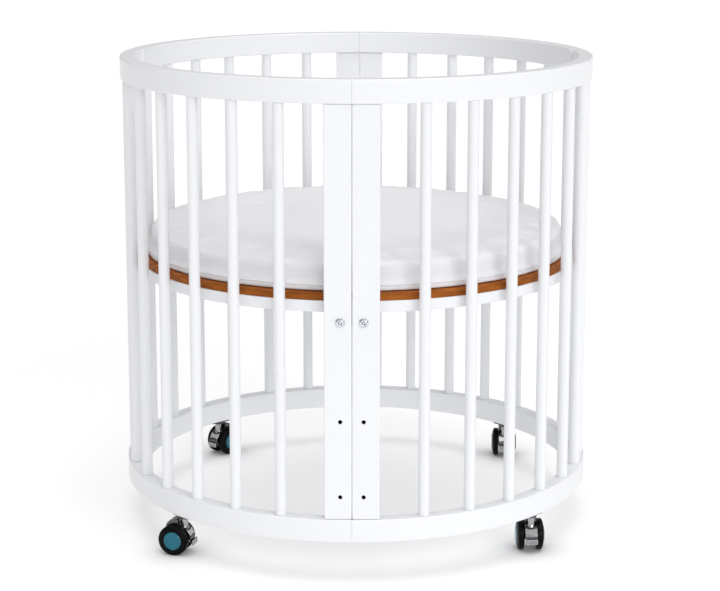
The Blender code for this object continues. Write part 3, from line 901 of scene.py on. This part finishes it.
def shield_mesh():
    """The face pressed on the hood's front slope, waisted above and below; its brighter metal paints in
    a highlight on the slope.
    """
    foot, head = Vector((0.0146, 0, 0.0322)), Vector((0.0068, 0, 0.0440))
    along = (head - foot).normalized()
    out = Vector((along.z, 0, -along.x))
    length = (head - foot).length
    middle = length * 0.44
    half, steps = 9.6 * MM, 8
    edge = []
    for base, waist, way in ((0.08 * length, 1.3 * MM, 1), (0.80 * length, -1.8 * MM, -1)):
        for step in range(-steps, steps + 1):
            share = way * step / steps
            edge.append((half * share, base + waist * math.cos(share * math.pi / 2) ** 2))
    rings = []
    for lift, grow in ((-0.3 * MM, 1.0), (0.15 * MM, 1.0), (0.3 * MM, 0.97)):
        ring = []
        for y, climb in edge:
            up = along * ((climb - middle) * grow + middle)
            ring.append(foot + up + out * lift + Vector((0, y * grow, 0)))
        rings.append(ring)
    return loft("shield", rings)


def make_hood(place, matrix, trail, radius, body):
    """The swivelling hood in a darker copy of the caster's metal (painted shade), its neck, and the face
    on its front slope in a brighter copy (painted highlight).
    """
    outer, hollow = hood_outlines(trail, radius)
    name = f"caster_{place}_hood"
    # The hood's darker metal is painted shade on what is one plated body.
    hood = new_object(name + "_look", slab(name, outer, -HOOD_HALF, HOOD_HALF), LOOKS["painted_shade_metal"])
    soften(hood, 0.7 * MM, 3, 40)
    cut(hood, [slab("hollow", hollow, -HOOD_HALF + HOOD_WALL, HOOD_HALF - HOOD_WALL)])
    even_shading(hood)
    hood.matrix_world = matrix
    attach(hood, body)
    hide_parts(name)
    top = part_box(f"caster_{place}_hood")[1].z
    neck = turned("neck", [
        (0, top), (6.0 * MM, top), (6.0 * MM, 47 * MM), (7.6 * MM, 43.6 * MM), (7.0 * MM, 38 * MM),
        (0, 38 * MM),
    ], [0, 0.6 * MM, 3 * MM, 1 * MM, 0, 0], 4, 48)
    even_shading(piece(f"caster_{place}_neck", neck, "steel", body, None, matrix))
    # The shield's brighter metal is a painted highlight on the hood's slope.
    even_shading(piece(f"caster_{place}_shield", shield_mesh(), "painted_highlight_steel", body, None, matrix))


def make_wheels(place, matrix, trail, radius, body):
    """Two wheels with their hub caps, tab down, and the axle through them."""
    lying = Matrix.Rotation(math.radians(-90), 4, "X")
    axle_place = matrix @ Matrix.Translation((-trail, 0, radius)) @ lying
    other_way = axle_place @ Matrix.Rotation(math.pi, 4, "X")
    tab_down = Matrix.Rotation(math.radians(90), 4, "Z")
    for side, at in (("left", axle_place), ("right", other_way)):
        tyre = piece(f"caster_{place}_wheel_{side}", tyre_mesh(radius), "black", body,
                     f"caster_{place}_wheels" if side == "left" else None, at)
        even_shading(tyre)
        down = tab_down if side == "left" else tab_down.inverted()
        even_shading(piece(f"caster_{place}_cap_{side}", cap_mesh(), "teal", body, None, at @ down))
    outline = [(0, AXLE_HALF), (3 * MM, AXLE_HALF), (3 * MM, -AXLE_HALF), (0, -AXLE_HALF)]
    axle = turned("axle", outline, [0, 0.4 * MM, 0.4 * MM, 0], 2, 32)
    piece(f"caster_{place}_axle", axle, "steel", body, None, axle_place)


def make_lever(place, matrix, body):
    """The brake pedal: its arm, a lip with a sunken face and the barrel on its pivot."""
    arm = filleted([
        (0.0045, 0.0285), (0.0056, 0.0242), (0.0090, 0.0200), (0.0163, 0.0195), (0.0163, 0.0222),
        (0.0102, 0.0225), (0.0092, 0.0242), (0.0092, 0.0285),
    ], 0.8 * MM, 3)
    arm_mesh = slab("lever", arm, -LEVER_HALF, LEVER_HALF)
    lever = new_object(f"caster_{place}_lever_look", arm_mesh, LOOKS["pedal"])
    low, high = 17.0 * MM, 25.6 * MM
    middle = (low + high) / 2
    face = filleted([(-HOOD_HALF, low), (HOOD_HALF, low), (HOOD_HALF, high), (-HOOD_HALF, high)],
                    [2.2 * MM, 2.2 * MM, 0.8 * MM, 0.8 * MM], 5)
    inset = [(y * 0.84, middle + (z - middle) * 0.72) for y, z in face]
    rings = []
    for x, outline, grow in ((15.8, face, 0.94), (16.2, face, 1.0), (17.6, face, 1.0),
                             (18.1, face, 0.95), (18.15, inset, 1.06), (17.8, inset, 1.0)):
        rings.append([(x * MM, y * grow, middle + (z - middle) * grow) for y, z in outline])
    outline = [(0, LEVER_HALF), (2.6 * MM, LEVER_HALF), (2.6 * MM, -LEVER_HALF), (0, -LEVER_HALF)]
    barrel = along_y(lathe("barrel", outline, 32), LEVER_PIVOT)
    cut(lever, [loft("lip", rings), barrel], "UNION")
    even_shading(lever)
    lever.matrix_world = matrix
    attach(lever, body)
    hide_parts(f"caster_{place}_lever")


def make_plate(place, matrix, body):
    """The fixed plate with rounded corners, its bearing race with the stem, and four screws."""
    node = f"caster_{place}_plate"
    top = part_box(node)[1].z
    angle = math.atan2(matrix.translation.y, matrix.translation.x)
    at = Matrix.Translation((*matrix.translation.xy, top)) @ Matrix.Rotation(angle, 4, "Z")
    x, y, thick = PLATE_WIDTH / 2, PLATE_LENGTH / 2, PLATE_THICK
    outline = filleted([(-x, -y), (x, -y), (x, y), (-x, y)], 5 * MM, 5)
    rings = []
    for z, grow in ((0.0, 0.985), (-0.3 * MM, 1.0), (-thick + 0.4 * MM, 1.0), (-thick, 0.975)):
        rings.append([(x * grow, y * grow, z) for x, y in outline])
    plate = piece(node + "_look", loft(node, rings), "dark_steel", body, node, at)
    even_shading(plate)
    race_low, stem_low = -thick - RACE_DEPTH, -27 * MM
    race = turned("race", [
        (0, -thick + 0.5 * MM), (RACE_RADIUS, -thick + 0.5 * MM), (RACE_RADIUS, race_low),
        (6.5 * MM, race_low), (4 * MM, race_low), (4 * MM, stem_low), (0, stem_low),
    ], [0, 0.2 * MM, 0.8 * MM, 0, 0, 0.6 * MM, 0], 3, 48)
    even_shading(piece(f"caster_{place}_race", race, "dark_steel", body, None, at))
    head = turned("head", [(0, -1.4 * MM), (1.6 * MM, -1.4 * MM), (2.5 * MM, 0.4 * MM), (0, 0.4 * MM)],
                  [0, 0.5 * MM, 0, 0], 3, 20)
    spots = [(x * 5.5 * MM, y * 15.5 * MM) for x in (-1, 1) for y in (-1, 1)]
    screws = join_meshes("screws", [(head, Matrix.Translation((x, y, -thick))) for x, y in spots])
    piece(f"caster_{place}_screws", screws, "zinc", body, None, at)


def make_casters():
    for place in PLACES:
        matrix, trail, radius = caster_frame(place)
        make_plate(place, matrix, "crib_frame")
        make_hood(place, matrix, trail, radius, f"{place}_swivel")
        make_wheels(place, matrix, trail, radius, f"{place}_wheels")
        make_lever(place, matrix, f"{place}_brake")


# Studio -------------------------------------------------------------------------------------

def make_floor():
    """Pale paper that glows faintly; the glow fades out close to other things, which paints soft contact
    shadow under and around them.
    """
    corners = [(x * FLOOR_REACH, y * FLOOR_REACH, 0) for x, y in ((-1, -1), (1, -1), (1, 1), (-1, 1))]
    mesh = closed_mesh("floor", corners, [(0, 1, 2, 3)])
    paint = Paint("floor_paper", Roughness=0.9, IOR=1.2)
    mottle = paint.spread(paint.noise(1.5, 2.0), 0.3, 0.7)
    paint.use("Base Color", paint.mix(mottle, (0.63, 0.63, 0.63), (0.65, 0.65, 0.65)))
    # Ambient occlusion scales the floor's glow down near the crib and casters: painted contact shadow.
    painted_contact_shade_ao = paint.node("ShaderNodeAmbientOcclusion", {"Distance": 0.07}, samples=8).outputs["AO"]
    paint.use("Emission Strength", paint.math("MULTIPLY", paint.math("POWER", painted_contact_shade_ao, 1.6), 0.40))
    paint.shader.inputs["Emission Color"].default_value = (1.0, 1.0, 1.0, 1.0)
    floor = new_object("floor", mesh, paint.material)


def add_sun(name, towards, strength, spread, colour=(1, 1, 1)):
    """A wide, soft light that is the same all over the floor; towards points back at it."""
    data = bpy.data.lights.new(name, "SUN")
    data.energy = strength
    data.angle = math.radians(spread)
    data.color = colour
    light = bpy.data.objects.new(name, data)
    bpy.context.scene.collection.objects.link(light)
    light.rotation_mode = "QUATERNION"
    light.rotation_quaternion = (-Vector(towards)).to_track_quat("-Z", "Y")


def make_lights():
    world = bpy.data.worlds.new("studio")
    bpy.context.scene.world = world
    world.use_nodes = True
    background = world.node_tree.nodes["Background"]
    background.inputs["Color"].default_value = (1.0, 0.993, 0.978, 1.0)
    background.inputs["Strength"].default_value = 0.36
    add_sun("key", (0.571, -0.731, 0.375), 0.60, 20, (0.975, 0.985, 1.0))
    add_sun("fill", (0.20, -0.92, 0.34), 0.60, 30, (0.975, 0.985, 1.0))
    add_sun("top", (0.05, -0.08, 1.0), 1.65, 60)


def make_camera():
    """At the photographed angle; the shift keeps the crib high in the frame."""
    distance, height = 3.352, 1.1348
    azimuth, pitch = math.radians(0.95), math.radians(11.10)
    data = bpy.data.cameras.new("camera")
    data.sensor_width = 36
    data.lens = 98.6
    data.shift_x, data.shift_y = 0.0054, -0.0806
    camera = bpy.data.objects.new("camera", data)
    bpy.context.scene.collection.objects.link(camera)
    camera.location = (distance * math.sin(azimuth), -distance * math.cos(azimuth), height)
    level = math.cos(pitch)
    forward = Vector((-math.sin(azimuth) * level, math.cos(azimuth) * level, -math.sin(pitch)))
    camera.rotation_mode = "QUATERNION"
    camera.rotation_quaternion = forward.to_track_quat("-Z", "Y")
    bpy.context.scene.camera = camera


make_camera()
make_floor()
make_lights()
make_rails()
make_posts()
make_rods()
make_base()
make_bolts()
make_mattress()
make_casters()
bpy.context.scene.view_settings.view_transform = "Standard"
